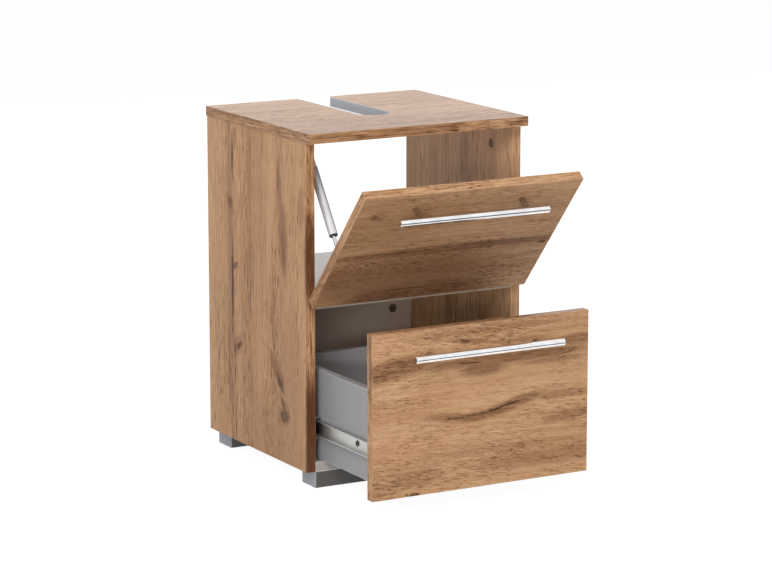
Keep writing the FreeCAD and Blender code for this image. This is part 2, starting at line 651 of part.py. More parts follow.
def outer_member():
    wall, reach, high, lip = -INSIDE, -INSIDE + 11.0, OUTER_HEIGHT / 2, 2.5
    member = rolled([
        (wall, high), (reach, high), (reach, high - SHEET - lip), (reach - SHEET, high - SHEET - lip),
        (reach - SHEET, high - SHEET), (wall + SHEET, high - SHEET),
    ])
    member = eased(member, BEND, Y, lambda middle: abs(middle.z - SLIDE_Z) > high - 0.1)
    return member.cut([rod(V(wall, y, SLIDE_Z), X, 3.05, SHEET) for y in OUTER_SCREWS])


def inner_member():
    wall, reach, high = -BOX_OUTSIDE, -BOX_OUTSIDE - SHEET - 8.3, INNER_HEIGHT / 2
    member = rolled([
        (wall, high), (reach, high), (reach, high - SHEET), (wall - SHEET, high - SHEET),
    ])
    member = eased(member, BEND, Y, lambda middle: middle.x > wall - 0.1)
    return member.cut([stadium((wall - SHEET, wall), y, SLIDE_Z, 5.4, SLIDE_SLOT) for y in INNER_SCREWS])


def ball_cage():
    start = SLIDE_START + 1.0 + DRAWER_OUT / 2
    length = (start, start + CAGE_LENGTH)
    web = (-INSIDE + SHEET + 0.6, -INSIDE + SHEET + 1.6)
    race = (OUTER_HEIGHT / 2 - SHEET + INNER_HEIGHT / 2) / 2
    plate = 0.5
    ball_x = web[1] + 3.4
    levels = [SLIDE_Z + side * race for side in (-1, 1)]
    strips = [box((web[1], web[1] + 6.0), length, (z - plate / 2, z + plate / 2)) for z in levels]
    cage = joined(box(web, length, (SLIDE_Z - race - 1.0, SLIDE_Z + race + 1.0)), *strips)
    centres = [V(ball_x, start + CAGE_LENGTH * share, SLIDE_Z + side * race)
               for side in (-1, 1) for share in (0.2, 0.5, 0.8)]
    cage = cage.cut([rod(c - Z * plate, Z, BALL_RADIUS + 0.15, 2 * plate) for c in centres])
    return group([cage] + [Part.makeSphere(BALL_RADIUS, c) for c in centres])


def make_slides():
    outer, inner, cage = outer_member(), inner_member(), ball_cage()
    outer_screws, inner_screws = [], []
    for y in OUTER_SCREWS:
        outer_screws.append(screw(V(-INSIDE, y, SLIDE_Z), X, 2.9, 1.1, 1.7, 11.0))
    for y in INNER_SCREWS:
        inner_screws.append(screw(V(-BOX_OUTSIDE - SHEET, y, SLIDE_Z), -X, 4.0, 1.8, 1.5, 9.0 + SHEET))
    save("slide_outer_left", outer)
    save("slide_outer_right", mirrored(outer))
    save("slide_outer_screws", group(outer_screws + [mirrored(s) for s in outer_screws]))
    save("slide_inner_left", pulled(inner))
    save("slide_inner_right", pulled(mirrored(inner)))
    save("slide_inner_screws", pulled(group(inner_screws + [mirrored(s) for s in inner_screws])))
    save("ball_cage_left", pulled(cage, 0.5))
    save("ball_cage_right", pulled(mirrored(cage), 0.5))


os.makedirs("parts", exist_ok=True)
make_top()
make_sides()
make_inner_boards()
make_rails()
make_cams()
make_hinges()
make_strut()
make_door()
make_drawer_front()
make_drawer_box()
make_slides()
print("arm pin %.3f %.3f" % (ARM_PIN[0] - MIDDLE_Y, ARM_PIN[1]))
print("cup pin, open %.3f %.3f" % (CUP_PIN_OPEN[0] - MIDDLE_Y, CUP_PIN_OPEN[1]))
print("strut foot, open %.3f %.3f" % (STRUT_FOOT_OPEN[0] - MIDDLE_Y, STRUT_FOOT_OPEN[1]))
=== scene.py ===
import math
from typing import NamedTuple

import bpy
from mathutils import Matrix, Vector


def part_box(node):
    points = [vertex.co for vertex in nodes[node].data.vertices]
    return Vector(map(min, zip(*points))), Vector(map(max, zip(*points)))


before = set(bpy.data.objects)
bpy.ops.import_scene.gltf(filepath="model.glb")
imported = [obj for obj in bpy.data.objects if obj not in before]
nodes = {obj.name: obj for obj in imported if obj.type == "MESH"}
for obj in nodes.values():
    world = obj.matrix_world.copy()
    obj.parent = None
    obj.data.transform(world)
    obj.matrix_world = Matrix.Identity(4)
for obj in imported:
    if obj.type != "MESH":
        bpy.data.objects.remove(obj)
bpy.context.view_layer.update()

# Camera of the photograph, in metres and degrees
CAMERA_PLACE = Vector((-2.493, -4.3555, 1.311))
CAMERA_DOWN = 11.425
CAMERA_RIGHT = 29.55
FOCAL_LENGTH = 147.28
SENSOR_WIDTH = 36.0

# Lengths in metres, the open door's angle, and directions
MM = 0.001
BOARD = 0.016
DOOR_TILT = math.radians(41.0)
X, Y, Z = Vector((1, 0, 0)), Vector((0, 1, 0)), Vector((0, 0, 1))
DOWN = -Z
DOOR_DOWN = Vector((0, math.sin(DOOR_TILT), -math.cos(DOOR_TILT)))

# Board edges are pale in full up to the first distance, and not at all from the second on: wear,
# together with a painted highlight along the arrises
WEAR_AND_HIGHLIGHT_LIMITS = (0.0002, 0.0011)

# Oak decor, as linear colours
OAK_DEEP = (0.052, 0.021, 0.009)
OAK_DARK = (0.205, 0.090, 0.036)
OAK_MID = (0.432, 0.236, 0.119)
OAK_LIGHT = (0.610, 0.374, 0.214)
OAK_STAIN = (0.155, 0.060, 0.026)
OAK_GREY = (0.300, 0.172, 0.098)
OAK_HONEY = (0.500, 0.268, 0.112)
OAK_TONES = ((0.0, OAK_DEEP), (0.30, OAK_DARK), (0.62, OAK_MID), (1.0, OAK_LIGHT))
HONEY_SHARE = 0.20
GREY_SHARE = 0.6
STAIN_SHARE = 0.85
WEAR_AND_HIGHLIGHT_SHARE = 0.35

# Oak decor: what its fine fibres, pores, cracks and worn edges do to the surface
OAK_ROUGHNESS = 0.44
FINE_ROUGHNESS, PORE_ROUGHNESS, WORN_ROUGHNESS = 0.14, 0.08, -0.15
OAK_DEPTH = 0.00012
FINE_HEIGHT, PORE_HEIGHT, CRACK_HEIGHT = 0.6, -0.7, -1.0

# A board's face is what looks along its axis by at least this cosine
FACE_COSINE = 0.7
# The edge bands across the grain take the decor from this far beside the board
BAND_OFFSET = 2.0


class Drift(NamedTuple):
    """How the grain strays: noise with these scales along and across it, times the reach."""

    along: float
    across: float
    reach: float
    detail: float


SLOW_DRIFT = Drift(3.0, 9.0, 0.030, 1.0)
QUICK_DRIFT = Drift(15.0, 50.0, 0.0050, 2.0)
RAGGED_ALONG = Drift(40.0, 120.0, 0.014, 3.0)
RAGGED_ACROSS = Drift(70.0, 260.0, 0.006, 3.0)
# Marks stray less than the grain does
MARK_DRIFT = 0.35


class Fibre(NamedTuple):
    """Noise drawn out along the grain, about 1 / stretch metres long and 1 / fineness metres wide.

    Where it counts as a share, the share begins at low and is full at high. Tone is its weight in
    the board's tone, or for stripes in the pattern of the edges.
    """

    stretch: float
    fineness: float
    detail: float = 2.0
    roughness: float = 0.55
    low: float = 0.0
    high: float = 1.0
    tone: float = 0.0


ZONES = Fibre(0.8, 6.0, detail=1.0, tone=0.45)
BROAD = Fibre(2.0, 17.0, tone=0.55)
MEDIUM = Fibre(5.0, 75.0, detail=3.0, roughness=0.6, tone=0.32)
FINE = Fibre(13.0, 300.0, detail=3.0, roughness=0.65, tone=0.36)
HAIRS = Fibre(46.0, 640.0, roughness=0.6, tone=1.00)
PORES = Fibre(80.0, 820.0, detail=1.0, roughness=0.5, low=0.56, high=0.65, tone=-0.33)
PATCHES = Fibre(7.0, 26.0, low=0.40, high=0.62)
BREAKS = Fibre(26.0, 40.0, detail=1.0, low=0.30, high=0.48)
HONEY = Fibre(1.5, 9.0, detail=1.0, low=0.40, high=0.65)
LONG_STRIPES = Fibre(3.0, 480.0, tone=0.6)
SHORT_STRIPES = Fibre(26.0, 360.0, tone=0.4)

# How strong pores and hairs are outside and inside the patches, and pores in clear and stained wood
PATCHED_PORES = (0.4, 1.0)
PATCHED_HAIRS = (0.6, 1.1)
STAINED_PORES = (1.0, 2.6)

# Year rings, whose dark lines begin sharply and fade out
RINGS_PER_METRE = 105.0
RING_WANDER = 1.6
RING_RISE = (0.0, 0.12)
RING_FALL = (0.2, 0.9)
RING_TONE = -0.06

# From a mark's rim at 0 to its middle at 1: where it begins, and where it is full
MARK_LIMITS = {"stains": (0.0, 0.6), "greys": (0.0, 0.8), "cracks": (0.1, 0.6), "knots": (0.0, 0.6)}
# Fibres break up stains, knots and the pale edges, which are wear with a painted highlight
RAGGED_MEDIUM, RAGGED_FINE, RAGGED_HAIR = 0.25, 0.4, 0.35
RAGGED_LIMITS = (0.42, 0.58)
RAGGED_LEVELS = (0.5, 1.0)
KNOT_LIMITS = (0.30, 0.55)
WORN_AND_LIT_LIMITS = (0.3, 0.6)
# Grain parts round a knot within these multiples of its size, by this multiple of its half width
KNOT_REACH_ALONG, KNOT_REACH_ACROSS = 4.0, 4.5
KNOT_PUSH = -6.0


class Graph:
    """A node tree. Most methods add a node and return the socket that comes out."""

    # The Mix node has two inputs and an output for each data type
    MIX_SOCKETS = {"VECTOR": (4, 5, 1), "RGBA": (6, 7, 2)}

    def __init__(self, tree):
        self.tree = tree

    def feed(self, socket, value):
        if isinstance(value, bpy.types.NodeSocket):
            self.tree.links.new(value, socket)
        else:
            socket.default_value = value

    def node(self, kind, *values, **settings):
        made = self.tree.nodes.new("ShaderNode" + kind)
        for key, value in settings.items():
            setattr(made, key, value)
        for socket, value in zip(made.inputs, values):
            self.feed(socket, value)
        return made

    def math(self, operation, *values, clamp=False):
        return self.node("Math", *values, operation=operation, use_clamp=clamp).outputs[0]

    def times(self, first, second):
        return self.math("MULTIPLY", first, second)

    def centred(self, noise):
        """Noise that varies about 0."""
        return self.math("SUBTRACT", noise, 0.5)

    def inverse(self, share):
        return self.math("SUBTRACT", 1.0, share)

    def scaled(self, share, at_none, at_full):
        """One level where the share is 0, another where it is 1, and a straight line between."""
        return self.math("MULTIPLY_ADD", share, at_full - at_none, at_none)

    def weighted(self, *terms):
        total = None
        for value, weight in terms:
            part = self.times(value, weight)
            total = part if total is None else self.math("ADD", total, part)
        return total

    def strongest(self, values):
        """The greatest of the values at each point, and 0 for none."""
        most = None
        for value in values:
            most = value if most is None else self.math("MAXIMUM", most, value)
        return 0.0 if most is None else most

    def vector(self, operation, *values):
        made = self.node("VectorMath", *values, operation=operation)
        return made.outputs["Value"] if operation == "DOT_PRODUCT" else made.outputs["Vector"]

    def joined(self, x, y, z):
        return self.node("CombineXYZ", x, y, z).outputs[0]

    def split(self, vector):
        return self.node("SeparateXYZ", vector).outputs

    def coordinate(self, name):
        return self.node("TexCoord").outputs[name]

    def noise(self, vector, scale=1.0, detail=2.0, roughness=0.5):
        made = self.node("TexNoise")
        self.feed(made.inputs["Vector"], vector)
        made.inputs["Scale"].default_value = scale
        made.inputs["Detail"].default_value = detail
        made.inputs["Roughness"].default_value = roughness
        return made.outputs[0]

    def between(self, value, start, end):
        """0 up to the start, 1 from the end on, and a smooth step between. The end may be lower."""
        made = self.node("MapRange", value, start, end, 0.0, 1.0, interpolation_type="SMOOTHSTEP")
        return made.outputs[0]

    def ramp(self, value, *stops):
        made = self.node("ValToRGB", value)
        elements = made.color_ramp.elements
        while len(elements) < len(stops):
            elements.new(0.5)
        for element, (position, colour) in zip(elements, stops):
            element.position = position
            element.color = (*colour, 1.0)
        return made.outputs[0]

    def blend(self, kind, share, first, second):
        first_in, second_in, result = self.MIX_SOCKETS[kind]
        made = self.node("Mix", share, data_type=kind)
        self.feed(made.inputs[first_in], first)
        self.feed(made.inputs[second_in], second)
        return made.outputs[result]

    def mix(self, share, *colours):
        """Two colours mixed, each a socket or a plain tuple."""
        opaque = ((*value, 1.0) if isinstance(value, tuple) else value for value in colours)
        return self.blend("RGBA", share, *opaque)


class Look(Graph):
    """A material's node tree, with its shader."""

    def __init__(self, name):
        self.material = bpy.data.materials.new(name)
        self.material.use_nodes = True
        super().__init__(self.material.node_tree)
        self.shader = self.tree.nodes["Principled BSDF"]

    def facing(self, axis):
        """How squarely the surface looks along the axis, either way: 1 for straight along it."""
        cosine = self.vector("DOT_PRODUCT", self.coordinate("Normal"), tuple(axis))
        return self.math("ABSOLUTE", cosine)

    def inset(self, place, length):
        """The distance to the nearer of two faces, one at 0 and one at the length."""
        middle = length / 2
        off_middle = self.math("ABSOLUTE", self.math("SUBTRACT", place, middle))
        return self.math("SUBTRACT", middle, off_middle)

    def edge_wear_and_highlight(self, places, size):
        """1 on the board's edges and 0 from about a millimetre on: the share of wear and of a
        painted highlight along the arrises.

        The distance to the nearest edge is the middle one of the distances to the board's faces.
        """
        a, b, c = (self.inset(place, length) for place, length in zip(places, size))
        nearer = self.math("MINIMUM", self.math("MAXIMUM", a, b), c)
        distance = self.math("MAXIMUM", self.math("MINIMUM", a, b), nearer)
        return self.inverse(self.between(distance, *WEAR_AND_HIGHLIGHT_LIMITS))

    def shaded(self, noise, colour, spread, low, high):
        """A colour, darker by the spread where the noise is low and lighter where it is high."""
        dark = tuple(value * (1.0 - spread) for value in colour)
        light = tuple(min(1.0, value * (1.0 + spread)) for value in colour)
        return self.ramp(noise, (low, dark), (high, light))

    def finish(self, colour, roughness, metallic=0.0, bump=None, depth=0.0, sheen=0.5):
        self.feed(self.shader.inputs["Base Color"], colour)
        self.feed(self.shader.inputs["Roughness"], roughness)
        self.shader.inputs["Metallic"].default_value = metallic
        self.shader.inputs["Specular IOR Level"].default_value = sheen
        if bump is not None:
            made = self.node("Bump")
            made.inputs["Distance"].default_value = depth
            self.feed(made.inputs["Height"], bump)
            self.feed(self.shader.inputs["Normal"], made.outputs[0])
        return self.material


class Cut(NamedTuple):
    """How a board's decor differs from the next board's.

    Slant turns the fine fibres a little off the grain, draw and width make all fibres longer and
    wider, and pore widens the hairs and pores alone. Base is the tone that the grain varies about,
    band the contrast of the stripes on the board's edges, edge the tone that all edges add, and end
    the tone that edges across the grain add on top.
    """

    seed: float
    slant: float = 0.0
    draw: float = 1.0
    width: float = 1.0
    pore: float = 1.0
    contrast: float = 1.15
    base: float = 0.70
    sheen: float = 0.20
    band: float = 1.6
    # Edge and end tones are painted shade where they darken edges that take more light from the
    # side than the face, and painted light where they lighten the top's front edge
    edge: float = 0.0
    end: float = -0.11


class Oak(Look):
    """Oak decor on one board, with its knots and stains where the board has them.

    The corner is the board's own zero, grain and across are the two directions on its face, and
    size is the board's length along the grain, its width across it and its thickness.
    """

    def __init__(self, name, corner, grain, across, size, cut, marks):
        super().__init__(name)
        self.cut = cut
        self.marks = marks
        out = grain.cross(across)
        offset = self.vector("SUBTRACT", self.coordinate("Object"), tuple(corner))
        places = [self.vector("DOT_PRODUCT", offset, tuple(axis)) for axis in (grain, across, out)]
        self.on_face = self.math("GREATER_THAN", self.facing(out), FACE_COSINE)
        self.on_end = self.math("GREATER_THAN", self.facing(grain), FACE_COSINE)
        self.wear_and_highlight = self.edge_wear_and_highlight(places, size)
        self.lay_grain(places)
        self.colour_in()

    def lay_grain(self, places):
        """Grain runs along the board. On edges across the grain it runs along the edge band."""
        a, b, c = places
        face = self.joined(a, b, c)
        band = self.joined(b, self.math("ADD", c, BAND_OFFSET), a)
        self.along, cross, self.deep = self.split(self.blend("VECTOR", self.on_end, face, band))
        wander = self.weighted(
            (self.drift(SLOW_DRIFT, cross, self.cut.seed), SLOW_DRIFT.reach),
            (self.drift(QUICK_DRIFT, cross, self.cut.seed), QUICK_DRIFT.reach),
        )
        self.plane = self.ragged_plane(self.math("ADD", cross, self.times(wander, MARK_DRIFT)))
        self.lines = self.math("ADD", cross, wander)
        for along, across, half_length, half_width, _ in self.marks.get("knots", ()):
            push = self.knot_parting(along, across, half_length, half_width)
            self.lines = self.math("ADD", self.lines, push)

    def drift(self, kind, cross, seed):
        """Noise about 0, which its user multiplies by the reach."""
        along = self.times(self.along, kind.along)
        place = self.joined(along, self.times(cross, kind.across), seed)
        return self.centred(self.noise(place, detail=kind.detail))

    def ragged_plane(self, cross):
        """The board's plane, pulled about a little so that no mark has a clean outline."""
        along = self.drift(RAGGED_ALONG, cross, self.cut.seed)
        across = self.drift(RAGGED_ACROSS, cross, -self.cut.seed)
        return self.joined(
            self.math("MULTIPLY_ADD", along, RAGGED_ALONG.reach, self.along),
            self.math("MULTIPLY_ADD", across, RAGGED_ACROSS.reach, cross),
            0.0,
        )

    def oval(self, along, across, half_length, half_width, lean=0.0):
        """The board's plane as seen from a mark, whose rim is at a distance of 1."""
        mapping = self.node("Mapping", self.plane, vector_type="TEXTURE")
        mapping.inputs["Location"].default_value = (along * MM, across * MM, 0.0)
        mapping.inputs["Rotation"].default_value = (0.0, 0.0, lean)
        mapping.inputs["Scale"].default_value = (half_length * MM, half_width * MM, 1.0)
        return mapping.outputs[0]

    def spot(self, *place):
        """1 at the middle of a mark, and 0 from its rim on."""
        return self.node("TexGradient", self.oval(*place), gradient_type="SPHERICAL").outputs["Fac"]

    def deepest(self, kind):
        """The strongest mark of one kind at each point, by its own depth."""
        return self.strongest(
            self.times(self.between(self.spot(*place), *MARK_LIMITS[kind]), depth)
            for *place, depth in self.marks.get(kind, ())
        )

    def knot_parting(self, along, across, half_length, half_width):
        """How far the grain lines are pushed aside round a knot."""
        reach = self.oval(
            along, across, KNOT_REACH_ALONG * half_length, KNOT_REACH_ACROSS * half_width,
        )
        halo = self.node("TexGradient", reach, gradient_type="QUADRATIC_SPHERE").outputs["Fac"]
        return self.times(self.times(self.split(reach)[1], halo), KNOT_PUSH * half_width * MM)

    def fibre(self, kind, wider=1.0, slant=0.0):
        """Noise of one kind of fibre along the grain lines."""
        lines = self.math("MULTIPLY_ADD", self.along, -slant, self.lines) if slant else self.lines
        fineness = kind.fineness / wider / self.cut.width
        spread = self.joined(
            self.times(self.along, kind.stretch / self.cut.draw),
            self.times(lines, fineness),
            self.math("MULTIPLY_ADD", self.deep, fineness, self.cut.seed),
        )
        return self.noise(spread, detail=kind.detail, roughness=kind.roughness)

    def fibre_share(self, kind, wider=1.0, slant=0.0):
        return self.between(self.fibre(kind, wider, slant), kind.low, kind.high)

    def ring_lines(self, medium):
        """Dark lines of the year rings, 1 at their darkest."""
        wander = self.times(medium, RING_WANDER)
        ring = self.math("FRACT", self.math("MULTIPLY_ADD", self.lines, RINGS_PER_METRE, wander))
        fading = self.inverse(self.between(ring, *RING_FALL))
        return self.times(self.between(ring, *RING_RISE), fading)

    def stripes(self, off_face):
        """Stripes on the board's edges, about 0. The long ones are equally fine on all boards."""
        pattern = self.weighted(
            (self.fibre(LONG_STRIPES, 1.0 / self.cut.width), LONG_STRIPES.tone),
            (self.fibre(SHORT_STRIPES), SHORT_STRIPES.tone),
        )
        return self.times(self.centred(pattern), off_face)

    def colour_in(self):
        cut = self.cut
        zones, broad, medium = (self.fibre(kind) for kind in (ZONES, BROAD, MEDIUM))
        fine = self.fibre(FINE, slant=cut.slant)
        hair = self.fibre(HAIRS, cut.pore, cut.slant)
        patches = self.fibre_share(PATCHES)
        hairs = self.times(self.centred(hair), self.scaled(patches, *PATCHED_HAIRS))
        pores = self.fibre_share(PORES, cut.pore, cut.slant)
        pores = self.times(pores, self.scaled(patches, *PATCHED_PORES))

        ragged = self.weighted((medium, RAGGED_MEDIUM), (fine, RAGGED_FINE), (hair, RAGGED_HAIR))
        ragged = self.scaled(self.between(ragged, *RAGGED_LIMITS), *RAGGED_LEVELS)
        stain = self.times(self.deepest("stains"), ragged)
        grey = self.times(self.deepest("greys"), ragged)
        crack = self.times(self.deepest("cracks"), self.fibre_share(BREAKS))
        knot = self.times(self.deepest("knots"), self.between(fine, *KNOT_LIMITS))
        pores = self.times(pores, self.scaled(stain, *STAINED_PORES))

        off_face = self.inverse(self.on_face)
        # The edge and end tones are painted shade on edges lit from the side, and painted light on
        # the top's front edge
        tone = self.weighted(
            (self.centred(zones), ZONES.tone), (self.centred(broad), BROAD.tone),
            (self.centred(medium), MEDIUM.tone), (self.centred(fine), FINE.tone),
            (hairs, HAIRS.tone), (self.ring_lines(medium), RING_TONE), (pores, PORES.tone),
            (self.stripes(off_face), cut.band), (off_face, cut.edge), (self.on_end, cut.end),
        )
        tone = self.math("MULTIPLY_ADD", tone, cut.contrast, cut.base, clamp=True)
        colour = self.ramp(tone, *OAK_TONES)
        colour = self.mix(self.times(self.fibre_share(HONEY), HONEY_SHARE), colour, OAK_HONEY)
        colour = self.mix(self.math("MULTIPLY", grey, GREY_SHARE, clamp=True), colour, OAK_GREY)
        colour = self.mix(self.math("MULTIPLY", stain, STAIN_SHARE, clamp=True), colour, OAK_STAIN)
        colour = self.mix(self.math("MAXIMUM", crack, knot, clamp=True), colour, OAK_DEEP)
        # Paler edges: wear, and a painted highlight along the arrises
        worn_and_lit = self.times(self.wear_and_highlight, WEAR_AND_HIGHLIGHT_SHARE)
        colour = self.mix(self.times(worn_and_lit, self.between(fine, *WORN_AND_LIT_LIMITS)), colour, OAK_LIGHT)

        height = self.weighted((fine, FINE_HEIGHT), (pores, PORE_HEIGHT), (crack, CRACK_HEIGHT))
        roughness = self.weighted(
            (fine, FINE_ROUGHNESS), (worn_and_lit, WORN_ROUGHNESS), (pores, PORE_ROUGHNESS),
        )
        roughness = self.math("ADD", roughness, OAK_ROUGHNESS - FINE_ROUGHNESS / 2)
        self.finish(colour, roughness, bump=height, depth=OAK_DEPTH, sheen=cut.sheen)


# Looks of the other pieces, with the scales of their noise per metre
FOIL_CLOUD, FOIL_GRAIN = 14.0, 900.0
FOIL_CLOUD_SHARE, FOIL_GRAIN_SHARE = 0.35, 0.65
FOIL_RANGE = (0.3, 0.7)
FOIL_BAND_FACING = (0.5, 0.7)
FOIL_WEAR_AND_HIGHLIGHT_PATCHES = (0.25, 0.60)
FOIL_WEAR_AND_HIGHLIGHT_SHARE = 0.8
FOIL_WEAR_AND_HIGHLIGHT_LIGHTER, FOIL_WEAR_AND_HIGHLIGHT_LIGHTEST = 2.0, 0.85
FOIL_ROUGHNESS_LESS, FOIL_ROUGHNESS_MORE = 0.07, 0.08
FOIL_DEPTH = 0.00004
METAL_ALONG, METAL_ACROSS, METAL_HAZE = 60.0, 1800.0, 55.0
METAL_SPREAD = 0.06
METAL_RANGE = (0.35, 0.65)
METAL_HAZE_ROUGHNESS = 0.08
METAL_DEPTH = 0.00001
PLASTIC_CLOUD, PLASTIC_GRAIN = 120.0, 1500.0
PLASTIC_SPREAD = 0.12
PLASTIC_RANGE = (0.35, 0.65)
PLASTIC_ROUGHNESS_CHANGE = 0.1
PLASTIC_DEPTH = 0.00003


def paint(material, *names):
    for name in names:
        mesh = nodes[name].data
        mesh.materials.clear()
        mesh.materials.append(material)


def melamine(node, colour, speck, roughness, band=None, axis=Z):
    """A board in plain foil with a fine pearl structure and pale edges, worn and with a painted
    highlight along the arrises.

    Its faces along the axis may have a band of another colour.
    """
    g = Look(node + "_foil")
    place = g.coordinate("Object")
    cloud = g.noise(place, FOIL_CLOUD, detail=3.0)
    grain = g.noise(place, FOIL_GRAIN, roughness=0.6)
    pearl = g.weighted((cloud, FOIL_CLOUD_SHARE), (grain, FOIL_GRAIN_SHARE))
    tone = g.shaded(pearl, colour, speck, *FOIL_RANGE)
    if band:
        on_band = g.between(g.facing(axis), *FOIL_BAND_FACING)
        tone = g.mix(on_band, tone, g.shaded(cloud, band, speck, *FOIL_RANGE))
    # Paler edges: wear, and a painted highlight along the arrises
    low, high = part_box(node)
    worn_and_lit = g.edge_wear_and_highlight(g.split(g.vector("SUBTRACT", place, tuple(low))), high - low)
    worn_and_lit = g.times(worn_and_lit, g.between(cloud, *FOIL_WEAR_AND_HIGHLIGHT_PATCHES))
    pale = tuple(min(FOIL_WEAR_AND_HIGHLIGHT_LIGHTEST, FOIL_WEAR_AND_HIGHLIGHT_LIGHTER * value) for value in band or colour)
    tone = g.mix(g.times(worn_and_lit, FOIL_WEAR_AND_HIGHLIGHT_SHARE), tone, pale)
    level = g.scaled(grain, roughness - FOIL_ROUGHNESS_LESS, roughness + FOIL_ROUGHNESS_MORE)
    paint(g.finish(tone, level, bump=grain, depth=FOIL_DEPTH), node)


def metal(name, colour, roughness, marked, axis, metallic=1.0):
    """Plated metal with fine marks along one direction, which vary its roughness by marked."""
    g = Look(name)
    place = g.coordinate("Object")
    stretch = tuple(METAL_ALONG if part else METAL_ACROSS for part in axis)
    marks = g.noise(g.vector("MULTIPLY", place, stretch), detail=3.0, roughness=0.6)
    haze = g.noise(place, METAL_HAZE, detail=3.0)
    level = g.weighted((marks, marked), (haze, METAL_HAZE_ROUGHNESS))
    level = g.math("ADD", level, roughness - METAL_HAZE_ROUGHNESS / 2 - marked / 2)
    tone = g.shaded(haze, colour, METAL_SPREAD, *METAL_RANGE)
    return g.finish(tone, level, metallic, bump=marks, depth=METAL_DEPTH)


def plastic(name, colour, roughness):
    """Moulded plastic or rubber with a faint texture."""
    g = Look(name)
    place = g.coordinate("Object")
    grain = g.noise(place, PLASTIC_GRAIN, roughness=0.6)
    tone = g.shaded(g.noise(place, PLASTIC_CLOUD), colour, PLASTIC_SPREAD, *PLASTIC_RANGE)
    smoother, rougher = roughness - PLASTIC_ROUGHNESS_CHANGE, roughness + PLASTIC_ROUGHNESS_CHANGE
    return g.finish(tone, g.scaled(grain, smoother, rougher), bump=grain, depth=PLASTIC_DEPTH)


# Boards with the oak decor

def side_corner(name):
    low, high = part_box(name)
    return Vector((low.x, low.y, high.z))


def side_size(name):
    low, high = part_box(name)
    return high.z - low.z, high.y - low.y, high.x - low.x


def front_corner(name, tilt=0.0):
    low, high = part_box(name)
    return Vector((low.x, low.y, high.z - BOARD * math.sin(tilt)))


# Marks in millimetres from the board's corner: place along and across the grain, half length,
# half width, lean in radians (knots have none), and depth
LEFT_SIDE_MARKS = {
    "greys": [
        (265, 260, 330, 26, 0.0, 0.7), (300, 318, 300, 16, 0.0, 0.25), (480, 256, 90, 18, 0.0, 0.7),
    ],
    # The stains at 0 across, 187 and 475 along, are painted shade on the front edge, where the door
    # and the drawer front shade it
    "stains": [
        (60, 194, 95, 11, 0.0, 0.5), (85, 89, 75, 13, -0.05, 0.8), (165, 78, 95, 22, -0.06, 0.9),
        (450, 70, 240, 75, 0.0, 0.42), (300, 205, 420, 34, 0.0, 0.22),
        (420, 300, 240, 44, 0.0, 0.12), (150, 86, 300, 24, 0.0, 0.3), (266, 262, 420, 12, 0.0, 0.4),
        (295, 112, 80, 14, 0.0, 0.5), (388, 97, 55, 20, -0.65, 1.0), (418, 47, 55, 14, 0.55, 0.5),
        (492, 86, 60, 24, 0.0, 0.6), (110, 16, 50, 14, 0.0, 0.6), (230, 192, 100, 18, 0.0, 0.4),
        (420, 192, 75, 18, 0.0, 0.45), (25, 245, 24, 13, 0.0, 0.6), (187, 0, 90, 5, 0.0, 1.5),
        (475, 0, 130, 5, 0.0, 1.7), (452, 76, 36, 34, 0.0, 0.75), (137, 262, 26, 14, 0.0, 0.6),
        (366, 236, 26, 16, 0.6, 0.6), (530, 130, 150, 140, 0.0, 0.36),
    ],
    # The cracks at 0 across, 187 and 475 along, deepen that painted shade on the front edge
    "cracks": [
        (60, 252, 55, 5.0, 0.0, 0.8), (275, 256, 120, 5.5, 0.0, 0.9), (396, 250, 60, 4.5, 0.0, 0.8),
        (490, 249, 60, 4.0, 0.0, 0.7), (400, 272, 130, 3.5, 0.0, 0.55),
        (235, 246, 13, 6.0, 1.0, 0.7), (366, 230, 18, 6.0, 1.2, 0.55),
        (436, 79, 24, 7.0, -0.6, 0.65), (430, 279, 20, 4.0, 0.0, 0.4),
        (180, 77, 40, 4.0, -0.1, 0.4), (70, 91, 40, 3.5, -0.05, 0.4),
        (400, 92, 32, 7.0, -0.65, 0.75), (187, 0, 85, 4.0, 0.0, 0.25),
        (475, 0, 125, 4.0, 0.0, 0.45),
    ],
    "knots": [(135, 262, 11, 9, 0.75), (455, 74, 15, 20, 0.75), (372, 238, 8, 7, 0.5)],
}
DRAWER_MARKS = {
    "stains": [
        (40, 58, 110, 22, -0.14, 1.0), (245, 62, 220, 13, 0.0, 0.9), (178, 60, 55, 13, 0.0, 0.8),
        (373, 47, 55, 14, 0.0, 0.9), (180, 28, 45, 7, 0.1, 0.8), (260, 35, 85, 6, 0.04, 0.6),
        (140, 146, 65, 10, 0.1, 0.85), (195, 149, 65, 11, -0.1, 0.9),
        (250, 138, 85, 13, -0.22, 1.0), (345, 132, 85, 9, 0.0, 0.7), (360, 166, 75, 11, -0.1, 0.65),
        (75, 235, 70, 18, 0.0, 0.35), (300, 230, 160, 18, 0.0, 0.55), (197, 76, 55, 17, 0.0, 0.85),
        (220, 12, 220, 8, 0.0, 0.4), (330, 75, 90, 8, 0.0, 0.5), (230, 205, 180, 8, 0.0, 0.3),
    ],
    "cracks": [
        (190, 146, 34, 2.2, -0.05, 0.8), (238, 139, 55, 2.6, -0.18, 0.95),
        (150, 149, 36, 1.8, 0.05, 0.7), (170, 64, 34, 2.2, 0.0, 0.7),
        (30, 63, 40, 1.8, -0.15, 0.55), (280, 58, 32, 2.0, -0.05, 0.6),
        (165, 26, 14, 2.4, 0.2, 0.7), (320, 232, 30, 1.4, 0.1, 0.5), (378, 238, 16, 2.4, 0.3, 0.6),
    ],
    "knots": [(74, 262, 14, 6, 1.0), (60, 260, 6, 4, 0.8)],
}
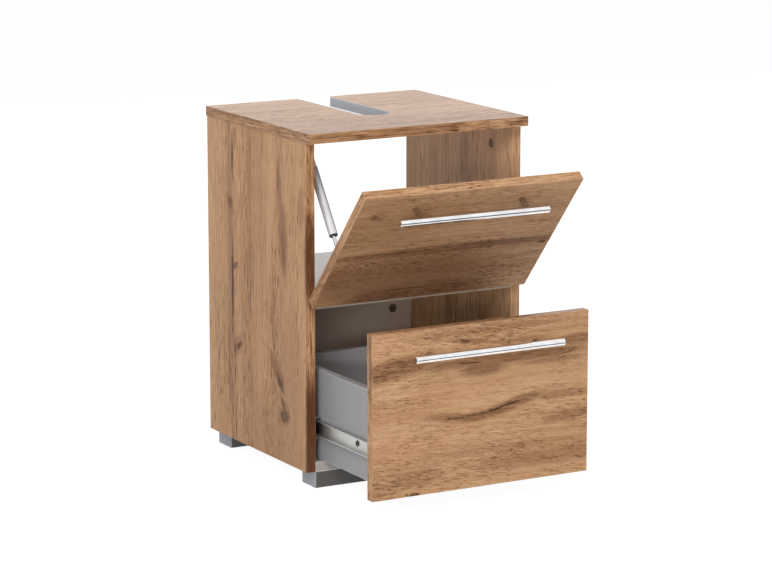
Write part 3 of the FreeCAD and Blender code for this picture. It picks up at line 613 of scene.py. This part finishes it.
DOOR_MARKS = {
    "stains": [
        (198, 143, 330, 15, 0.0, 0.95), (130, 205, 275, 85, 0.0, 0.72),
        (60, 212, 170, 50, 0.0, 0.65), (330, 148, 90, 9, 0.0, 0.7), (180, 255, 190, 55, 0.0, 1.1),
        (50, 80, 120, 90, 0.0, 0.22), (60, 160, 70, 14, 0.0, 0.6), (110, 50, 40, 18, -0.8, 0.35),
        (40, 44, 22, 22, 0.0, 0.6),
    ],
    "cracks": [
        (100, 141, 120, 1.6, 0.0, 0.75), (300, 139, 110, 1.6, 0.0, 0.8),
        (333, 20, 26, 1.8, 0.05, 0.8), (165, 13, 14, 1.8, 0.2, 0.6),
    ],
    "knots": [
        (280, 152, 8, 5, 0.75), (378, 152, 9, 5, 0.9), (62, 163, 7, 6, 0.9), (30, 46, 9, 9, 0.6),
    ],
}
TOP_MARKS = {
    "stains": [
        (70, 249, 100, 9, 0.0, 0.5), (75, 131, 100, 10, 0.0, 0.5), (200, 39, 300, 9, 0.0, 0.5),
        (260, 234, 45, 9, 0.0, 0.45),
    ],
    "knots": [(45, 29, 6, 4, 0.7), (320, 54, 7, 4, 0.6), (370, 59, 6, 4, 0.6)],
}
RIGHT_SIDE_MARKS = {
    "stains": [
        (120, 150, 200, 22, 0.0, 0.5), (90, 60, 150, 14, 0.0, 0.4), (330, 200, 160, 14, 0.0, 0.5),
    ],
}
top_low, top_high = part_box("top_panel")
door_low, door_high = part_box("door_panel")
drawer_low, drawer_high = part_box("drawer_front")
front_width = drawer_high.x - drawer_low.x
drawer_height = drawer_high.z - drawer_low.z
door_height = (door_high.y - door_low.y - BOARD * math.cos(DOOR_TILT)) / math.sin(DOOR_TILT)
# The edge and end tones given here are painted shade on edges lit from the side, and painted light
# on the top's front edge
boards = {
    "left_side_panel": Oak(
        "oak_left_side", side_corner("left_side_panel"), DOWN, Y, side_size("left_side_panel"),
        Cut(3.1, draw=1.8, width=1.2, pore=1.3, contrast=1.05, base=0.75, sheen=0.15, band=3.0,
            edge=-0.14),
        LEFT_SIDE_MARKS),
    "right_side_panel": Oak(
        "oak_right_side", side_corner("right_side_panel"), DOWN, Y, side_size("right_side_panel"),
        Cut(8.7, draw=2.6, width=1.3, pore=1.8, contrast=0.95, base=0.76, sheen=0.25),
        RIGHT_SIDE_MARKS),
    "top_panel": Oak(
        "oak_top", top_low, X, Y, top_high - top_low,
        Cut(14.2, draw=1.6, width=1.5, pore=1.1, contrast=1.05, base=0.61, sheen=0.27, edge=0.10,
            end=-0.20),
        TOP_MARKS),
    "drawer_front": Oak(
        "oak_drawer", front_corner("drawer_front"), X, DOWN, (front_width, drawer_height, BOARD),
        Cut(21.5, slant=0.08, draw=0.75, pore=0.85, base=0.74, edge=-0.12, end=-0.08),
        DRAWER_MARKS),
    "door_panel": Oak(
        "oak_door", front_corner("door_panel", DOOR_TILT), X, DOOR_DOWN,
        (front_width, door_height, BOARD),
        Cut(30.3, slant=0.04, draw=0.9, pore=0.85, contrast=1.2, base=0.86, sheen=0.10, end=-0.2),
        DOOR_MARKS),
}
for name, board in boards.items():
    paint(board.material, name)

# Plain boards: colour, speck and roughness, and the colour of a band
melamine("middle_shelf", (0.56, 0.54, 0.52), 0.05, 0.45, band=(0.40, 0.335, 0.28), axis=Y)
# The bottom panel is painted darker than the shelf: painted shade, for the shade it lies in under
# the drawer
melamine("bottom_panel", (0.40, 0.36, 0.33), 0.05, 0.45)
# The back panel's warm brown tint is painted light: the light that the oak round it bounces onto it
melamine("back_panel", (0.61, 0.48, 0.39), 0.05, 0.45)
for name in ("drawer_side_left", "drawer_side_right"):
    melamine(name, (0.28, 0.28, 0.297), 0.06, 0.42, band=(0.40, 0.39, 0.395))
melamine("drawer_bottom", (0.33, 0.33, 0.345), 0.06, 0.42)
melamine("drawer_back", (0.39, 0.365, 0.365), 0.06, 0.42, band=(0.60, 0.575, 0.565))
# The rails are painted near black: painted shade, for the drawer's shadow on their fronts, and
# their faces towards the sides, which take the light, get the lighter band
for name in ("front_rail", "rear_rail"):
    melamine(name, (0.085, 0.078, 0.072), 0.10, 0.45, band=(0.29, 0.30, 0.335), axis=X)
melamine("slot_edge_band", (0.44, 0.455, 0.50), 0.05, 0.35)

# Metal: colour, roughness, marks and their direction
paint(metal("chrome_bar", (0.88, 0.88, 0.89), 0.05, 0.03, X),
      "door_handle_bar", "drawer_handle_bar")
# The posts' chrome is darkened: painted shade round the posts
paint(metal("chrome_post_painted_shade", (0.50, 0.48, 0.47), 0.12, 0.04, Y),
      "door_handle_posts", "drawer_handle_posts")
paint(metal("strut_steel", (0.74, 0.74, 0.76), 0.34, 0.06, Z, metallic=0.45),
      "strut_cylinder", "strut_sleeve")
paint(metal("strut_chrome", (0.66, 0.66, 0.68), 0.20, 0.04, Z, metallic=0.7),
      "strut_rod", "strut_rod_eye")
paint(metal("slide_zinc", (0.60, 0.60, 0.58), 0.46, 0.12, Y),
      "slide_outer_left", "slide_outer_right", "slide_inner_left", "slide_inner_right",
      "ball_cage_left", "ball_cage_right")
paint(metal("nickel", (0.74, 0.73, 0.72), 0.22, 0.06, Y),
      "hinge_plate_left", "hinge_plate_right", "hinge_arm_left", "hinge_arm_right",
      "hinge_link_left", "hinge_link_right", "hinge_cup_left", "hinge_cup_right",
      "strut_upper_bracket", "strut_lower_bracket")
paint(metal("screw_steel", (0.66, 0.66, 0.67), 0.30, 0.10, X),
      "rail_screws", "hinge_plate_screws", "hinge_cup_screws", "slide_outer_screws",
      "strut_upper_screws", "strut_lower_screws", "door_handle_screws", "drawer_handle_screws")
# The slide's inner screws are painted near black: painted shade, for the dark ring of shade round
# them in their slots
paint(metal("dark_screw_painted_shade", (0.10, 0.10, 0.105), 0.34, 0.10, X), "slide_inner_screws")
paint(metal("zinc_cam", (0.34, 0.33, 0.32), 0.42, 0.10, X),
      "top_cam_locks", "shelf_cam_locks", "bottom_cam_locks", "back_cam_locks", "drawer_cam_locks")

# Plastic and rubber: colour and roughness
# The caps are painted dark brown: painted shade, for the shade in the recesses they sit in
paint(plastic("oak_cap", (0.105, 0.050, 0.026), 0.5), "top_cam_caps")
paint(plastic("black_gland", (0.012, 0.012, 0.013), 0.45), "strut_gland")
paint(plastic("pale_buffer", (0.62, 0.63, 0.63), 0.35), "door_buffers", "drawer_buffers")

# Studio, in metres
WHITE = (1.0, 1.0, 1.0, 1.0)
FLAG_COLOUR = (0.02, 0.02, 0.022, 1.0)
# The upward part of a ray's direction where the flag begins, and where it is full
FLAG_UPWARD = (0.90, 0.96)
# Where along the depth the floor's dark strip begins, and where it is full, from either end
STRIP_NEAR_END = (-0.62, -0.72)
STRIP_FAR_END = (-2.9, -2.6)
FLOOR_REACH = 12.0
FLOOR_CLOUD = 3.0
FLOOR_TONES = ((0.3, (0.56, 0.56, 0.56)), (0.7, (0.60, 0.60, 0.60)))
FLOOR_ROUGHNESS = 0.9


def seen_ray(g):
    """1 for rays from the camera and for what they see in metal or through glass."""
    path = g.node("LightPath").outputs
    seen = g.math("ADD", path["Is Camera Ray"], path["Is Glossy Ray"], clamp=True)
    return g.math("ADD", seen, path["Is Transmission Ray"], clamp=True)


def flag_share(g):
    """1 where metal sees the dark flag of the studio, straight above the object."""
    upward = g.split(g.coordinate("Generated"))[2]
    return g.times(g.between(upward, *FLAG_UPWARD), g.node("LightPath").outputs["Is Glossy Ray"])


def strip_share(g):
    """1 where metal sees the dark strip of floor in front of the object."""
    depth = g.split(g.coordinate("Object"))[1]
    strip = g.times(g.between(depth, *STRIP_NEAR_END), g.between(depth, *STRIP_FAR_END))
    return g.times(strip, g.node("LightPath").outputs["Is Glossy Ray"])


def studio_world(level):
    """Soft light from all round. The background is white."""
    world = bpy.data.worlds.new("studio")
    bpy.context.scene.world = world
    world.use_nodes = True
    g = Graph(world.node_tree)
    g.tree.nodes.clear()
    light = g.node("Background", WHITE, level)
    white = g.node("Background", WHITE, 1.0)
    flag = g.node("Background", FLAG_COLOUR, 1.0)
    seen = g.node("MixShader", seen_ray(g), light.outputs[0], white.outputs[0])
    flagged = g.node("MixShader", flag_share(g), seen.outputs[0], flag.outputs[0])
    g.node("OutputWorld", flagged.outputs[0])


def pale_floor(glow, shadow_share):
    """Pale floor that looks white from the camera, with a faint shadow of the object."""
    low, high = -FLOOR_REACH, FLOOR_REACH
    mesh = bpy.data.meshes.new("floor")
    corners = [(low, low, 0), (high, low, 0), (high, high, 0), (low, high, 0)]
    mesh.from_pydata(corners, [], [(0, 1, 2, 3)])
    floor = bpy.data.objects.new("floor", mesh)
    bpy.context.scene.collection.objects.link(floor)
    g = Look("floor")
    cloud = g.noise(g.coordinate("Object"), FLOOR_CLOUD)
    g.finish(g.ramp(cloud, *FLOOR_TONES), FLOOR_ROUGHNESS)
    seen = g.node("BsdfDiffuse", (shadow_share, shadow_share, shadow_share, 1.0))
    glowing = g.node("Emission", WHITE, g.scaled(strip_share(g), glow, 0.0))
    lit = g.node("AddShader", seen.outputs[0], glowing.outputs[0])
    both = g.node("MixShader", seen_ray(g), g.shader.outputs[0], lit.outputs[0])
    g.feed(g.tree.nodes["Material Output"].inputs["Surface"], both.outputs[0])
    mesh.materials.append(g.material)


def area_light(name, place, target, size, power, mirrored=False):
    data = bpy.data.lights.new(name, "AREA")
    data.shape = "RECTANGLE"
    data.size, data.size_y = size
    data.energy = power
    lamp = bpy.data.objects.new(name, data)
    lamp.location = place
    lamp.rotation_euler = (Vector(target) - Vector(place)).to_track_quat("-Z", "Y").to_euler()
    lamp.visible_glossy = mirrored
    lamp.visible_camera = False
    bpy.context.scene.collection.objects.link(lamp)


def photo_camera():
    data = bpy.data.cameras.new("camera")
    data.lens = FOCAL_LENGTH
    data.sensor_width = SENSOR_WIDTH
    camera = bpy.data.objects.new("camera", data)
    camera.location = CAMERA_PLACE
    camera.rotation_euler = (math.radians(90.0 - CAMERA_DOWN), 0.0, math.radians(-CAMERA_RIGHT))
    bpy.context.scene.collection.objects.link(camera)
    bpy.context.scene.camera = camera


studio_world(level=0.20)
pale_floor(glow=0.95, shadow_share=0.16)
# Lamps: place, target, size and power in watts
area_light("key", (-2.55, -2.72, 3.0), (0, 0, 0.3), (2.0, 2.2), 118.0)
area_light("low", (-3.05, -3.22, 0.75), (0, 0, 0.3), (2.0, 0.4), 65.0)
area_light("right", (0.9, -4.1, 1.4), (0, 0, 0.3), (1.5, 1.0), 22.0)
area_light("above", (0.0, -0.2, 3.6), (0, 0, 0.3), (2.0, 2.0), 15.0)
area_light("back", (0.8, 3.4, 2.0), (0, 0, 0.4), (5.6, 4.6), 86.0, mirrored=True)
photo_camera()
bpy.context.scene.view_settings.view_transform = "Standard"
